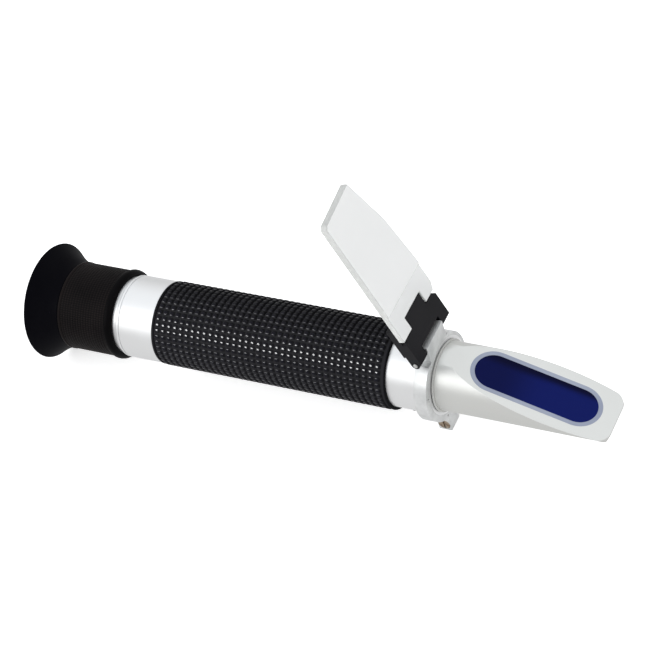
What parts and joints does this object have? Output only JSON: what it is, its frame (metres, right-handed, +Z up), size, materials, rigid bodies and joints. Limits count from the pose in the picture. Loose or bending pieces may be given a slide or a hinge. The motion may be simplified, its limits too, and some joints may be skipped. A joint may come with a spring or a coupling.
{
  "type": "hand-held refractometer",
  "caption": "Hand-held refractometer: round barrel with rubber grip, flared eyecup and focus ring, slanted prism face and a hinged daylight plate.",
  "frame": {"origin": "under the middle of the barrel, on the surface that the instrument lies on", "axes": "+X along the barrel from the eyecup to the prism tip, +Y across it, +Z up through the hinge of the daylight plate"},
  "size_m": [0.2028, 0.039, 0.0952],
  "materials": {
    "black_rubber": "matte",
    "black_anodised": "satin",
    "satin_aluminium": "satin",
    "cast_aluminium": "bead blasted",
    "steel": "brushed",
    "brass": "turned",
    "black_plastic": "matte",
    "frosted_acrylic": "frosted",
    "clear_glass": "polished",
    "blue_glass": "polished",
    "pale_plastic": "matte",
    "grey_sealant": "matte"
  },
  "bodies": {
    "barrel": {"body_tube": "satin_aluminium", "rubber_grip": "black_rubber", "key_screw": "steel", "reticle": "clear_glass", "reticle_retainer": "black_anodised", "light_stops": "black_anodised", "neck_tube": "satin_aluminium", "guide_pins": "steel", "calibration_spring": "steel", "ring_bracket": "cast_aluminium", "clamp_screw": "brass", "hinge_pin": "steel", "gasket_ring": "pale_plastic", "prism_housing": "satin_aluminium", "main_prism": "blue_glass", "prism_seal": "grey_sealant"},
    "lens_barrel": {"eyepiece_barrel": "black_anodised", "eye_lens": "clear_glass", "lens_spacer": "black_anodised", "field_lens": "clear_glass", "lens_retainer": "black_anodised", "focus_collar": "black_anodised"},
    "focus_ring": {"focus_ring": "black_anodised", "eyecup": "black_rubber"},
    "objective": {"objective_frame": "black_anodised", "bimetal_strip": "brass", "strip_screws": "steel", "objective_cell": "black_anodised", "objective_lens": "clear_glass"},
    "calibration_screw": {"calibration_screw": "steel", "screw_clip": "steel"},
    "cover": {"hinge_carrier": "black_plastic", "daylight_plate": "frosted_acrylic"}
  },
  "joints": [
    {"name": "cover_hinge", "type": "hinge", "parent": "barrel", "child": "cover", "pos_m": [0.04351, 0, 0.03596], "axis": [0, 1, 0], "range_deg": [0, 126.2]},
    {"name": "focus_slide", "type": "slide", "parent": "barrel", "child": "lens_barrel", "axis": [1, 0, 0], "range_m": [-0.0015, 0.0015]},
    {"name": "focus_turn", "type": "hinge", "parent": "lens_barrel", "child": "focus_ring", "pos_m": [-0.09, 0, 0.0196], "axis": [1, 0, 0], "range_deg": [-180, 180]},
    {"name": "calibration_turn", "type": "hinge", "parent": "barrel", "child": "calibration_screw", "pos_m": [0.03615, 0, 0.03], "axis": [0, 0, 1], "range_deg": [-360, 360]},
    {"name": "objective_lift", "type": "slide", "parent": "barrel", "child": "objective", "axis": [0, 0, 1], "range_m": [-0.0004, 0.0004], "deforming": ["calibration_spring"]}
  ],
  "couplings": [
    {"joint": "focus_turn", "follows": "focus_slide", "rad_per_m": 2094.4},
    {"joint": "calibration_turn", "follows": "objective_lift", "rad_per_m": 15708}
  ]
}
